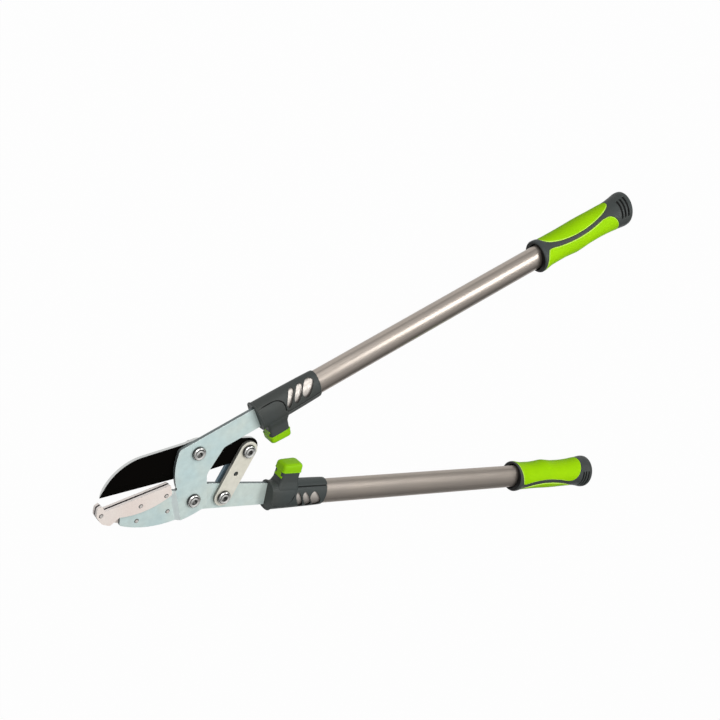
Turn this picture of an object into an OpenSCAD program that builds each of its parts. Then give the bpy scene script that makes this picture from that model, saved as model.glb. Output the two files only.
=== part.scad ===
// Anvil lopper with compound action: the lower handle turns on the upper one's head plate and,
// through a pair of links, drives a blade that closes on an anvil. It lies flat, face up.

/* [Handles] */
// Angle between the two handles as the lopper stands part open
rest_angle = 30.5; // [29:0.5:32]
// Turn of the lower handle from there until the blade lands on the anvil
close_angle = 14.5; // [14:0.5:15]
// Distance of the upper handle's centre line from the main pivot
upper_axis = 57; // [56:0.5:58]
// Distance of the lower handle's centre line from the main pivot
lower_axis = -2; // [-3:0.5:-1]
// From the main pivot to the upper collar, along the handle
upper_reach = 93; // [90:1:96]
// From the main pivot to the lower collar, along the handle
lower_reach = 98; // [95:1:101]
// Half height of the oval tube, in the plane of the handles
tube_a = 15; // [14.5:0.5:15.5]
// Half thickness of the oval tube
tube_b = 10; // [9.5:0.5:10.5]
// Wall of the tube
tube_wall = 1.5; // [1.2:0.1:1.8]
// Length of the plastic collar
collar_l = 79; // [76:1:84]
// Bare tube between collar and grip
tube_run = 318; // [200:1:400]
// Length of the grip
grip_l = 142; // [130:1:150]
// Top of the rubber bumper above the tube's centre line
bumper_h = 41.6; // [40:0.1:44]

/* [Head] */
// Thickness of the head plate and of the lower handle's plate
plate_t = 4; // [3.5:0.1:4.5]
// Thickness of the blade
blade_t = 3.6; // [3:0.1:4]
// Thickness of each link
link_t = 3.5; // [3:0.1:4]
// Half width of a link
link_r = 11; // [10:0.5:11.5]
// Blade pivot, along the upper handle from the main pivot
blade_pin_x = 20; // [19:0.5:21]
// Blade pivot, across the upper handle from the main pivot
blade_pin_y = 54.5; // [54:0.5:55]
// Link pin on the lower plate, along the lower handle
link_pin_x = 39; // [38:0.5:40]
// Link pin on the lower plate, across the lower handle
link_pin_y = 1; // [0:0.5:2]
// From the blade pivot to the pin in the blade's tail
tail_l = 65; // [64:0.5:66]
// Between the two pins of a link
link_l = 57.5; // [57:0.5:59]
// Distance of the cutting edge from the blade pivot
edge_offset = 28.9; // [28.5:0.1:29.3]
// Slope of the cutting edge against the line of the blade's two pins
edge_slope = 12.3; // [12:0.1:13]
// Width of the anvil across its top
anvil_w = 8.5; // [8:0.1:9]

/* [Fasteners] */
// Radius of the pivot bolts
bolt_r = 4; // [3.5:0.1:4]
// Radius of a bolt head
head_r = 7.8; // [7:0.1:8]
// Radius of the rivets through the anvil and the jaw
rivet_r = 2.5; // [2:0.1:2.8]
// Radius of the hole in the middle of each link
link_hole_r = 2.75; // [2:0.05:3.5]

/* [Place] */
// Main pivot, along the lopper from the middle of its footprint
pivot_x = -252.9; // [-260:0.1:-240]
// Main pivot, across the lopper from the middle of its footprint
pivot_y = -25.9; // [-40:0.1:-10]
// Height of the tubes' centre lines above the ground
rest_h = 18.5; // [18.5:0.1:19]

/* [Hidden] */
$fn = 64;
steel = "lightsteelblue";
zinc = "silver";
slate = "dimgray";
green = "yellowgreen";

// Layers, as heights above the plane of the tubes' centre lines
layer_gap = 0.3;
layer_mid = -1.5;
plate_z = layer_mid + layer_gap / 2;
back_z = layer_mid - layer_gap / 2 - plate_t;
back_top = back_z + plate_t;
blade_z = back_z + (plate_t - blade_t) / 2;
rear_link_z = back_z - layer_gap - link_t;
plate_top = plate_z + plate_t;
link_top = plate_z + link_t;
washer_t = 1.6;
fit = 0.05;

// Pins of the mechanism, in the upper handle's frame with the main pivot as origin
blade_ratio = 0.59;
function turn(p, a) = [p.x * cos(a) - p.y * sin(a), p.x * sin(a) + p.y * cos(a)];
blade_pin = [blade_pin_x, blade_pin_y];
link_pin = [link_pin_x, link_pin_y];
drive_pin = turn(link_pin, -rest_angle);
span = drive_pin - blade_pin;
span_l = norm(span);
along = (tail_l * tail_l - link_l * link_l + span_l * span_l) / (2 * span_l);
across = sqrt(tail_l * tail_l - along * along);
tail_pin = blade_pin + (span * along + [-span.y, span.x] * across) / span_l;
blade_dir = atan2(tail_pin.y - blade_pin.y, tail_pin.x - blade_pin.x);
link_dir = atan2(tail_pin.y - drive_pin.y, tail_pin.x - drive_pin.x) + rest_angle;

// Anvil top: the cutting edge turned shut, with the edge a little way into the groove
groove_bite = 0.4;
groove_w = 2;
groove_d = 1.2;
anvil_dir = blade_dir + edge_slope + close_angle * blade_ratio;
anvil_foot = blade_pin + (edge_offset - groove_bite) * [sin(anvil_dir), -cos(anvil_dir)];
function anvil_top(x) = anvil_foot.y + (x - anvil_foot.x) * tan(anvil_dir);
web_d = 8;

// Outlines: a corner is [x, y, radius], and a round stretch is an arc
function xy(c) = [c.x, c.y];
function unit(v) = v / norm(v);
function arc(o, r, from, to, n = 16) =
    [for (i = [0 : n]) let (a = from + (to - from) * i / n) [o.x + r * cos(a), o.y + r * sin(a)]];
function sharp(points) = [for (p = points) [p.x, p.y, 0]];
function corner(prev, c, next, n) =
    let (a = unit(prev - xy(c)), b = unit(next - xy(c)), half = acos(a * b) / 2,
         o = xy(c) + unit(a + b) * c[2] / sin(half), start = xy(c) + a * c[2] / tan(half) - o,
         sweep = (cross(a, b) < 0 ? 1 : -1) * (180 - 2 * half), from = atan2(start.y, start.x))
    arc(o, c[2], from, from + sweep, n);
function rounded(c, n = 6) = let (k = len(c)) [for (i = [0 : k - 1])
    each c[i][2] == 0 ? [xy(c[i])] : corner(xy(c[(i + k - 1) % k]), c[i], xy(c[(i + 1) % k]), n)];

// Closed skin through rings of points, each ring with the same count
module loft(rings) {
    n = len(rings[0]);
    m = len(rings);
    sides = [for (j = [0 : m - 2], i = [0 : n - 1]) let (a = j * n + i, b = j * n + (i + 1) % n)
        each [[a, a + n, b + n], [a, b + n, b]]];
    ends = [[for (i = [0 : n - 1]) i], [for (i = [n - 1 : -1 : 0]) (m - 1) * n + i]];
    polyhedron([for (r = rings) each r], concat(sides, ends), convexity = 6);
}

// Ring of an oval section at x; a power above 2 squares the oval off
ring_n = 40;
function power(v, p) = sign(v) * pow(abs(v), p);
function oval(a, b, p = 2, n = ring_n) =
    [for (i = [0 : n - 1]) let (w = 360 * i / n) [a * power(cos(w), 2 / p), b * power(sin(w), 2 / p)]];
function ring(x, a, b, p = 2) = [for (q = oval(a, b, p)) [x, q.x, q.y]];

module along_x(from, to) translate([from, 0, 0]) rotate([90, 0, 90]) linear_extrude(to - from) children();
module tube_oval(grow) polygon(oval(tube_a + grow, tube_b + grow, 2, 2 * ring_n));

// Frames: the lopper's, each handle's, the collar's on a handle, the blade's and the link's
module lopper() translate([pivot_x, pivot_y, rest_h]) children();
module upper() lopper() rotate([0, 0, rest_angle / 2]) children();
module lower() lopper() rotate([0, 0, -rest_angle / 2]) children();
module on_upper() upper() translate([upper_reach, upper_axis, 0]) mirror([0, 1, 0]) children();
module on_lower() lower() translate([lower_reach, lower_axis, 0]) children();
module on_blade() upper() translate([blade_pin.x, blade_pin.y, 0]) rotate([0, 0, blade_dir]) children();
module on_link() lower() translate([link_pin.x, link_pin.y, 0]) rotate([0, 0, link_dir]) children();

module bore(r) translate([0, 0, -50]) cylinder(r = r, h = 100);

// Head plate: one stamping from the tang in the upper tube to the jaw, stepped back a plate's
// thickness beside the main pivot so that the jaw lies in line with the blade
neck_end = 14;
neck_half = 12.6;
neck_under = 13.6;
tang_l = 86;
tang_half = 11;
lower_tang_half = 9;
rivet_stations = [34.8, 72];
jaw_o = [0, 97];
jaw_r = 115;
jaw_tip = [-82.5, 17];
step_x = -18;
step_tilt = 6;
step_run = 4.5;
anvil_pins = [[-98, 43.5], [-55.5, 28], [-26, 22.5]];
jaw_pins = [[-64, 11], [-29, 0.5]];
function jaw_top(x) = anvil_top(x) - web_d;

module head_outline() {
    tang_x = upper_reach + tang_l;
    neck_x = upper_reach + neck_end;
    polygon(rounded(concat(
        [[tang_x, upper_axis - tang_half, 3], [tang_x, upper_axis + tang_half, 3],
         [neck_x + 4, upper_axis + tang_half, 2], [neck_x, upper_axis + neck_half, 4],
         [0.5, upper_axis + neck_half, 6]],
        sharp(arc([57.4, 25], 71.3, 146, 178)),
        [[-13, jaw_top(-13), 1.5], [-77, jaw_top(-77), 1.5], [jaw_tip.x, jaw_tip.y, 1.5]],
        sharp(arc(jaw_o, jaw_r, 226, 272, 24)),
        [[13.5, -17, 6], [22.5, 22, 10], [49.5, upper_axis - neck_under, 8],
         [neck_x, upper_axis - neck_under, 4], [neck_x + 4, upper_axis - tang_half, 2]])));
}

module stepped_sheet() {
    translate([step_x, 0, 0]) rotate([0, 0, -step_tilt]) rotate([90, 0, 0])
        linear_extrude(400, center = true)
            polygon([[-150, back_z], [-step_run, back_z], [0, plate_z], [300, plate_z], [300, plate_top],
                     [0, plate_top], [-step_run, back_top], [-150, back_top]]);
}

module upper_plate() {
    color(steel) upper() difference() {
        intersection() {
            translate([0, 0, -20]) linear_extrude(40) head_outline();
            stepped_sheet();
        }
        bore(bolt_r + fit);
        translate(blade_pin) bore(bolt_r + fit);
        for (p = concat(anvil_pins, jaw_pins)) translate(p) bore(rivet_r + fit);
        for (x = rivet_stations) translate([upper_reach + x, upper_axis]) bore(rivet_r + fit);
    }
}

// Anvil: a casting that straddles the jaw, with a grooved top, a short front cheek, a deep back
// cheek and a raised nose that keeps the branch from sliding out
hook_x = -92.3;
groove_x = hook_x - 2.2;
cheek_t = (anvil_w - plate_t) / 2;
function anvil_crown() =
    [[-18, anvil_top(-18), 1.5], [hook_x, anvil_top(hook_x), 2], [-94.2, anvil_top(-94.2) + 8.2, 1.2],
     [-99.4, 53.5, 2], [-103, 45.5, 6], [-100.5, 33.5, 8]];
module front_cheek() {
    polygon(rounded(concat(anvil_crown(), [[-93, 25.6, 3]], sharp(arc([-38, 106], 88, 241, 280)),
        [[-19.5, 19.5, 3]])));
}
module back_cheek() {
    polygon(rounded(concat(anvil_crown(), [[-88, 23.5, 4]], sharp(arc(jaw_o, jaw_r - 1, 228, 257)),
        [[-24.5, -14.5, 2], [-23.5, 15, 6]])));
}
module jaw_seat() {
    polygon([[-77 - fit, jaw_top(-77) + fit], [0, jaw_top(0) + fit], [0, -40], [-86, -40],
             [jaw_tip.x - fit - 1, jaw_tip.y]]);
}
module anvil() {
    color("antiquewhite") upper() difference() {
        union() {
            translate([0, 0, back_top]) linear_extrude(cheek_t) front_cheek();
            translate([0, 0, back_z - cheek_t]) linear_extrude(cheek_t) back_cheek();
            translate([0, 0, back_z]) linear_extrude(plate_t) difference() {
                front_cheek();
                jaw_seat();
            }
        }
        translate([groove_x, anvil_top(groove_x), back_z + plate_t / 2]) rotate([0, 0, anvil_dir])
            translate([0, -groove_d, -groove_w / 2]) cube([100, 10, groove_w]);
        for (p = concat(anvil_pins, jaw_pins)) translate(p) bore(rivet_r + fit);
    }
}

// Rivets: plain shanks set to a low crown at each end
crown = 0.4;
module rivet(from, to) {
    rotate_extrude() polygon([[0, from - crown], [rivet_r * 0.7, from - crown], [rivet_r, from],
                              [rivet_r, to], [rivet_r * 0.7, to + crown], [0, to + crown]]);
}
module anvil_rivets() {
    color("linen") upper() for (p = anvil_pins) translate(p) rivet(back_z - cheek_t, back_top + cheek_t);
}
module jaw_rivets() {
    color(zinc) upper() for (p = jaw_pins) translate(p) rivet(back_z - cheek_t, back_top);
}
module tang_rivets() {
    for (x = rivet_stations) translate([x, 0, 0]) cylinder(r = rivet_r, h = 2 * tube_b - 0.4, center = true);
}

// Bolts, washers and lock nuts of the four pivots
head_h = 4;
socket_r = 2.9;
nut_r = 7.5;
main_end = -rest_h;
link_end = -rest_h + 1;
module bolt(seat, end) {
    difference() {
        union() {
            translate([0, 0, end]) cylinder(r = bolt_r, h = seat - end);
            translate([0, 0, seat]) rotate_extrude() polygon(concat([[0, 0], [head_r, 0]],
                arc([head_r - 2, 2], 2, 0, 70, 6), arc([0, -8], 8 + head_h, 70, 90, 6)));
        }
        translate([0, 0, seat + head_h - 2.6]) cylinder(r = socket_r, h = 5, $fn = 6);
    }
}
module washer(top) {
    translate([0, 0, top - washer_t]) difference() {
        cylinder(r = head_r, h = washer_t);
        bore(bolt_r + fit);
    }
}
module nut(top, h, collar) {
    difference() {
        union() {
            translate([0, 0, top - h]) cylinder(r = nut_r, h = h, $fn = 6);
            translate([0, 0, top - h - collar]) cylinder(r = nut_r - 1.4, h = h + collar);
        }
        bore(bolt_r + fit);
    }
}
washer_top = back_z - layer_gap;
nut_top = washer_top - washer_t;
link_nut_top = rear_link_z - washer_t;
module main_bolt() { color(zinc) upper() bolt(plate_top, main_end); }
module main_washer() { color(zinc) upper() washer(washer_top); }
module main_nut() { color(zinc) upper() nut(nut_top, 6.5, 1.5); }
module blade_bolt() { color(zinc) upper() translate(blade_pin) bolt(plate_top, main_end); }
module blade_washer() { color(zinc) upper() translate(blade_pin) washer(washer_top); }
module blade_nut() { color(zinc) upper() translate(blade_pin) nut(nut_top, 6.5, 1.5); }
module link_bolt() { color(zinc) on_link() bolt(link_top, link_end); }
module tail_bolt() { color(zinc) on_link() translate([link_l, 0, 0]) bolt(link_top, link_end); }
module link_washers() {
    color(zinc) on_link() for (x = [0, link_l]) translate([x, 0, 0]) washer(rear_link_z);
}
module link_nuts() {
    color(zinc) on_link() for (x = [0, link_l]) translate([x, 0, 0]) nut(link_nut_top, 4, 1);
}

// Links: a matched pair, one on each face of the lower plate and of the blade's tail
module link(z) {
    translate([0, 0, z]) difference() {
        linear_extrude(link_t) {
            circle(r = link_r);
            translate([link_l, 0]) circle(r = link_r);
            translate([0, -link_r]) square([link_l, 2 * link_r]);
        }
        for (x = [0, link_l]) translate([x, 0, 0]) bore(bolt_r + fit);
        translate([link_l / 2, 0, 0]) bore(link_hole_r);
    }
}
module front_link() { color("lightgray") on_link() link(plate_z); }
module rear_link() { color("lightgray") on_link() link(rear_link_z); }

// Lower handle's plate: a round eye on the main pivot, a neck that still narrows where it enters
// the collar, and a tang
eye_r = 14.6;
lower_half = 13;
lower_entry = lower_half + 0.9;
module lower_plate() {
    neck_x = lower_reach + neck_end;
    tang_x = lower_reach + tang_l;
    color(steel) lower() difference() {
        translate([0, 0, back_z]) linear_extrude(plate_t) {
            circle(r = eye_r);
            polygon(rounded([[0, -eye_r, 0], [neck_x, lower_axis - lower_half, 3],
                [neck_x + 4, lower_axis - lower_tang_half, 2], [tang_x, lower_axis - lower_tang_half, 3],
                [tang_x, lower_axis + lower_tang_half, 3], [neck_x + 4, lower_axis + lower_tang_half, 2],
                [neck_x, lower_axis + lower_half, 3], [19, 16.5, 12], [0, eye_r, 0]]));
        }
        bore(bolt_r + fit);
        translate(link_pin) bore(bolt_r + fit);
        for (x = rivet_stations) translate([lower_reach + x, lower_axis]) bore(rivet_r + fit);
    }
}

// Blade: coated steel with a long curved back, a cutting edge ground from both faces, and a tail
bush_r = 6;
tail_r = 13.5;
tail_play = 2.4;
edge_t = 0.7;
grind_w = 9;
tail_foot = [52, -15.9];
heel_x = 8;
module blade_outline() {
    back = arc([-48, -56], 53, 107.4, 172, 20);
    heel_y = heel_x * tan(edge_slope) - edge_offset / cos(edge_slope);
    polygon(rounded(concat([[tail_l + tail_r, -tail_r, tail_r - 0.5], [tail_l + tail_r, 14, tail_r - 0.5],
        [-4, 14, 14], [-17, 8.4, 12]], sharp(back),
        [[-100.5, -52, 0.5], [heel_x, heel_y, 4], [tail_foot.x, tail_foot.y, 10]])));
}
module ground_face() {
    rotate([0, 0, edge_slope]) translate([-120, -edge_offset, 0]) rotate([90, 0, 90]) linear_extrude(106)
        polygon([[-1, edge_t / 2], [0, edge_t / 2], [grind_w, blade_t / 2 + fit],
                 [grind_w, blade_t], [-1, blade_t]]);
}
module blade() {
    color("black") on_blade() translate([0, 0, blade_z + blade_t / 2]) difference() {
        linear_extrude(blade_t, center = true) blade_outline();
        for (side = [0, 1]) mirror([0, 0, side]) ground_face();
        bore(bush_r + fit);
        translate([tail_l, 0, 0]) bore(bolt_r + tail_play);
    }
}
module blade_bush() {
    color("goldenrod") on_blade() translate([0, 0, blade_z]) difference() {
        cylinder(r = bush_r, h = blade_t);
        bore(bolt_r + fit);
    }
}

// Handle pieces, on the tube's centre line with x from the collar's mouth to the grip's end and
// +y towards the other handle
tube_start = 30;
grip_x = collar_l + tube_run;
tube_end = grip_x + grip_l - 10;
module tube_body() {
    difference() {
        along_x(tube_start, tube_end) difference() {
            tube_oval(0);
            tube_oval(-tube_wall);
        }
        for (x = rivet_stations) translate([x, 0, 0]) bore(rivet_r + fit);
    }
}
module upper_tube() { color("tan") on_upper() tube_body(); }
module lower_tube() { color("tan") on_lower() tube_body(); }

// Plastic wedge that packs the tang in the tube
module insert(tang_z, half) {
    difference() {
        along_x(tube_start + 0.5, tang_l + 4) tube_oval(-tube_wall - fit);
        translate([0, -half - fit, tang_z - fit])
            cube([tang_l + fit, 2 * half + 2 * fit, plate_t + 2 * fit]);
        for (x = rivet_stations) translate([x, 0, 0]) bore(rivet_r + fit);
    }
}
module upper_insert() { color(slate) on_upper() insert(plate_z, tang_half); }
module lower_insert() { color(slate) on_lower() insert(back_z, lower_tang_half); }
module upper_tang_rivets() { color(zinc) on_upper() tang_rivets(); }
module lower_tang_rivets() { color(zinc) on_lower() tang_rivets(); }

// One moulding serves both handles, turned over: its windows, pads and grooves are set round the
// tube by this angle, outwards on the front of the upper handle and inwards on that of the lower
set_round = 12.5;

// Collar: a moulded sleeve with a lip round its slotted end, a raised hood, three leaning windows on
// each face that show the tube, and a flared tower that carries the bumper
tower_x = 20.5;
tower_h = 31;
tower_front = 12;
tower_back = 13.5;
tower_half = 9.2;
tower_round = 3.5;
tongue_d = 2.4;
tongue_h = 7.5;
tongue_in = 0.5;
flap_h = 5;
flap_half = 7;
stem_half = 5;
hood_rise = 1.2;
mouth_d = 2.2;
window_x = [39.5, 49, 61];
window_w = [5, 7, 9.5];
window_l = 18;
window_lean = 34;
window_face = 19.5;
function sleeve(grow) =
    [ring(0, 17.2 + grow, 12.7 + grow, 2.7), ring(30, 17.1 + grow, 12.4 + grow, 2.5),
     ring(60, 17 + grow, 12.1 + grow, 2.2), ring(collar_l - 4, 16.9 + grow, 11.9 + grow),
     ring(collar_l - 1, 16.6 + grow, 11.6 + grow), ring(collar_l, 15.8 + grow, 10.8 + grow)];
module hood_side() {
    polygon(concat([[-1, -12.5]], arc([17, 2.5], 15, 270, 360, 10), arc([37.3, 5.5], 5, 180, 90, 5),
        [[collar_l + 1, 10.5], [collar_l + 1, 30], [-1, 30]]));
}
module window(i) {
    flat = window_w[i] * 0.3;
    full = window_w[i] * 0.7;
    translate([window_x[i], 0, 0]) rotate([window_face, 0, 0]) translate([0, 0, 9])
        rotate([0, 0, window_lean]) linear_extrude(20) intersection() {
            translate([bow(flat) - flat, 0]) circle(r = bow(flat));
            translate([full - bow(full), 0]) circle(r = bow(full));
        }
}
function bow(h) = (window_l * window_l / 4 + h * h) / (2 * h);
// Ring of the tower and of the bumper on it: a rounded oblong at height y, drawn in by an inset
function tower_ring(y, inset, slope = 0) =
    let (near = tower_x - tower_front + inset, far = tower_x + tower_back - inset, half = tower_half - inset)
    [for (p = rounded([[near, -half, tower_round], [far, -half, tower_round], [far, half, tower_round],
                       [near, half, tower_round]], 5))
        [p.x, y + (p.x - tower_x) * tan(slope), -p.y]];
// Tongue of the bumper: a flap with a narrower neck, let into the tower on the head's side
module tongue(grow) {
    near = tower_x - tower_front + tongue_in - grow;
    deep = tongue_d + 2 * grow;
    translate([near, tower_h - tongue_h - grow, -flap_half - grow])
        cube([deep, flap_h + 2 * grow, 2 * flap_half + 2 * grow]);
    translate([near, tower_h - tongue_h, -stem_half - grow])
        cube([deep, tongue_h + 1, 2 * stem_half + 2 * grow]);
}
module collar(hand, slot_z, slot_half) {
    difference() {
        union() {
            loft(sleeve(0));
            intersection() {
                loft(sleeve(hood_rise));
                translate([0, 0, -20]) linear_extrude(40) hood_side();
            }
            loft([ring(0, 18.6, 14.2, 2.7), ring(1.2, 19.2, 14.8, 2.7), ring(2.6, 18.2, 13.8, 2.7)]);
            loft([tower_ring(4, -2.4), tower_ring(12, -1.7), tower_ring(17, -0.4), tower_ring(20.5, 0.3),
                  tower_ring(tower_h, 0.5)]);
        }
        loft([ring(-1, 16.4, 11.8, 2.7), ring(mouth_d, 16.2, 11.6, 2.7)]);
        translate([0, -slot_half - 2 * fit, slot_z - 2 * fit])
            cube([tube_start, 2 * slot_half + 4 * fit, plate_t + 4 * fit]);
        along_x(tube_start - 0.5, collar_l + 1) tube_oval(fit);
        rotate([-hand * set_round, 0, 0]) for (side = [0, 1], i = [0 : 2]) mirror([0, 0, side]) window(i);
        tongue(fit);
    }
}
module upper_collar() { color(slate) on_upper() collar(-1, plate_z, neck_under); }
module lower_collar() { color(slate) on_lower() collar(1, back_z, lower_entry); }

// Bumper: a soft cap on the tower, with a tongue that snaps into the tower's front
bumper_tilt = 3;
module bumper() {
    loft([tower_ring(tower_h, 0), tower_ring(tower_h + 2, -0.2), tower_ring(bumper_h - 3, 0.1, bumper_tilt),
          tower_ring(bumper_h - 1, 1.1, bumper_tilt), tower_ring(bumper_h, 2.9, bumper_tilt)]);
    tongue(0);
}
module upper_bumper() { color(green) on_upper() bumper(); }
module lower_bumper() { color(green) on_lower() bumper(); }

// Grip: a hard core with a flared flange and end knob, a swell for the fingers, and two soft pads
// let into it. Rows give length along it, half widths outwards and inwards, and half thickness.
grip_form = [[0, 18.4, 18.4, 17.2], [1.5, 19.6, 19.6, 18.5], [4.5, 19.5, 19.5, 18.4], [10, 18.4, 18.2, 17.4],
             [18, 17.7, 17.2, 16.8], [34, 17.6, 17, 16.7], [46, 17.7, 18, 16.8], [56, 17.9, 19.3, 17],
             [66, 18.1, 18.2, 17.2], [78, 18.1, 16.8, 17.1], [92, 17.8, 16.8, 16.9], [106, 17.7, 17.6, 16.9],
             [118, 18.4, 19.2, 17.1], [128, 20.2, 20.8, 17.7], [135, 21.6, 21.6, 18.5],
             [139.5, 21.4, 21.4, 18.3], [141.4, 20.2, 20.2, 17.2], [grip_l, 17.8, 17.8, 15]];
grip_cant = 6;
function form(g, column) = lookup(g, [for (f = grip_form) [f[0], f[column]]]);
function skin(g, w, grow) =
    let (y = (form(g, sin(w) > 0 ? 2 : 1) + grow) * sin(w))
    [g - y * tan(grip_cant), y, (form(g, 3) + grow) * cos(w)];
pad_depth = 1.6;
pad_rise = 0.35;
notch_at = [126, 130.5, 135];
notch_w = 1.5;
notch_l = 22;
notch_face = 25;
// A pad spans the angle to each side of its middle that its reach gives along the grip; its ends
// are rounded, so the rings crowd together there
palm_from = 8;
palm_to = 113.5;
finger_from = 2.5;
finger_to = 122;
near_round = 0.07;
far_round = 0.17;
function palm_reach(u) = 62 * pow(sin(180 * pow(u, 0.9)), 0.45) + 1.5;
function finger_reach(u) = let (e = max(0, 1 - u / near_round, 1 - (1 - u) / far_round))
    min(113, 97 + 37 * pow(2 * u - 0.88, 2)) * sqrt(1 - e * e) + 3;
module pad(from, to, mid, reach, grow, rise) {
    nx = 18;
    nw = 12;
    rings = [for (j = [0 : nx]) let (u = (1 - cos(180 * j / nx)) / 2,
                g = from - grow + (to - from + 2 * grow) * u, w = reach(u) + grow * 3.4)
        concat([for (i = [0 : nw]) skin(g, mid + w * (1 - 2 * i / nw), rise)],
               [for (i = [nw : -1 : 0]) skin(g, mid + w * (1 - 2 * i / nw), -pad_depth - grow)])];
    translate([grip_x, 0, 0]) loft(rings);
}
module palm_pad(hand, grow = 0, rise = pad_rise) {
    pad(palm_from, palm_to, -90 + hand * set_round, function (u) palm_reach(u), grow, rise);
}
module finger_pad(hand, grow = 0, rise = pad_rise) {
    pad(finger_from, finger_to, 90 + hand * set_round, function (u) finger_reach(u), grow, rise);
}
module grip_notch(g, w) {
    depth = 2.2;
    translate([grip_x, 0, 0] + skin(g, w, 0)) rotate([-w, 0, 0])
        cube([notch_w, notch_l, depth], center = true);
}
module grip(hand) {
    difference() {
        translate([grip_x, 0, 0])
            loft([for (f = grip_form) [for (i = [0 : ring_n - 1]) skin(f[0], 90 - 360 * i / ring_n, 0)]]);
        along_x(grip_x - 4, grip_x + 5) tube_oval(2);
        along_x(grip_x + 4, tube_end + 0.5) tube_oval(fit);
        palm_pad(hand, fit, 3);
        finger_pad(hand, fit, 3);
        for (g = notch_at, w = [-notch_face, 180 + notch_face]) grip_notch(g, w + hand * set_round);
    }
}
module upper_grip() { color(slate) on_upper() grip(-1); }
module lower_grip() { color(slate) on_lower() grip(1); }
module upper_palm_pad() { color(green) on_upper() palm_pad(-1); }
module lower_palm_pad() { color(green) on_lower() palm_pad(1); }
module upper_finger_pad() { color(green) on_upper() finger_pad(-1); }
module lower_finger_pad() { color(green) on_lower() finger_pad(1); }

upper_plate();
anvil();
anvil_rivets();
jaw_rivets();
main_bolt();
main_washer();
main_nut();
blade_bolt();
blade_washer();
blade_nut();
upper_insert();
upper_tang_rivets();
upper_tube();
upper_collar();
upper_bumper();
upper_grip();
upper_palm_pad();
upper_finger_pad();
lower_plate();
lower_insert();
lower_tang_rivets();
lower_tube();
lower_collar();
lower_bumper();
lower_grip();
lower_palm_pad();
lower_finger_pad();
front_link();
rear_link();
link_bolt();
tail_bolt();
link_washers();
link_nuts();
blade();
blade_bush();
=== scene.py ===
from math import atan2, copysign, cos, hypot, pi, radians, sin, sqrt, tan
import bmesh
import bpy
from mathutils import Euler, Matrix, Vector


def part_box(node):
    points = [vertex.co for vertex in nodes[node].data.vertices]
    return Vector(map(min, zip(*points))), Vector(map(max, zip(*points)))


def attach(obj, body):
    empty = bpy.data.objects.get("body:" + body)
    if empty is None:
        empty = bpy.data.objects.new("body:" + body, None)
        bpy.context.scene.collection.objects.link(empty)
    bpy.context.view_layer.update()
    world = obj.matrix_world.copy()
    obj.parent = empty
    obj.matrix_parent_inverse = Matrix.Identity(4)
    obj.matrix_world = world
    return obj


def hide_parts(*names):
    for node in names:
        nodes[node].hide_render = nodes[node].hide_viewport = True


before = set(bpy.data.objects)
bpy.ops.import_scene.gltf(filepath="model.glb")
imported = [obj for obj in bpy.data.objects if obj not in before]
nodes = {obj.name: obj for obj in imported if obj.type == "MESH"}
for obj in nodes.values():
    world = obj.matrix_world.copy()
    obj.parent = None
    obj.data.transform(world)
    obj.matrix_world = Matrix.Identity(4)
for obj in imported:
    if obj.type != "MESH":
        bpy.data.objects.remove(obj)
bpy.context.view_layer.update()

# Head plate and lower plate: 4 mm steel stampings with broken edges, plated with dull zinc whose
# passivation runs from a cold blue to a faint straw. The joggle and the broken edges carry
# a painted highlight, and the cut edges painted shade.
ZINC_BLUE = (0.62, 0.78, 0.78)
ZINC_STRAW = (0.71, 0.81, 0.76)
JOGGLE_HIGHLIGHT = (0.88, 0.97, 0.96)
CUT_EDGE_SHADE = (0.16, 0.19, 0.19)
STAMPED_EDGE = 0.0004
GRAIN_LOW, GRAIN_HIGH = 0.3, 0.7
CLOUD_LOW, CLOUD_HIGH = 0.35, 0.65
SECOND_SHADE = 0.93
GLOSS_SPREAD = 0.06
RELIEF = 0.0003
WELD = 0.00002
SAME_PLANE, SHARP_EDGE = 0.5, 40.0
MIX_SHARE, MIX_A, MIX_B, MIX_OUT = 0, 6, 7, 2


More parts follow.
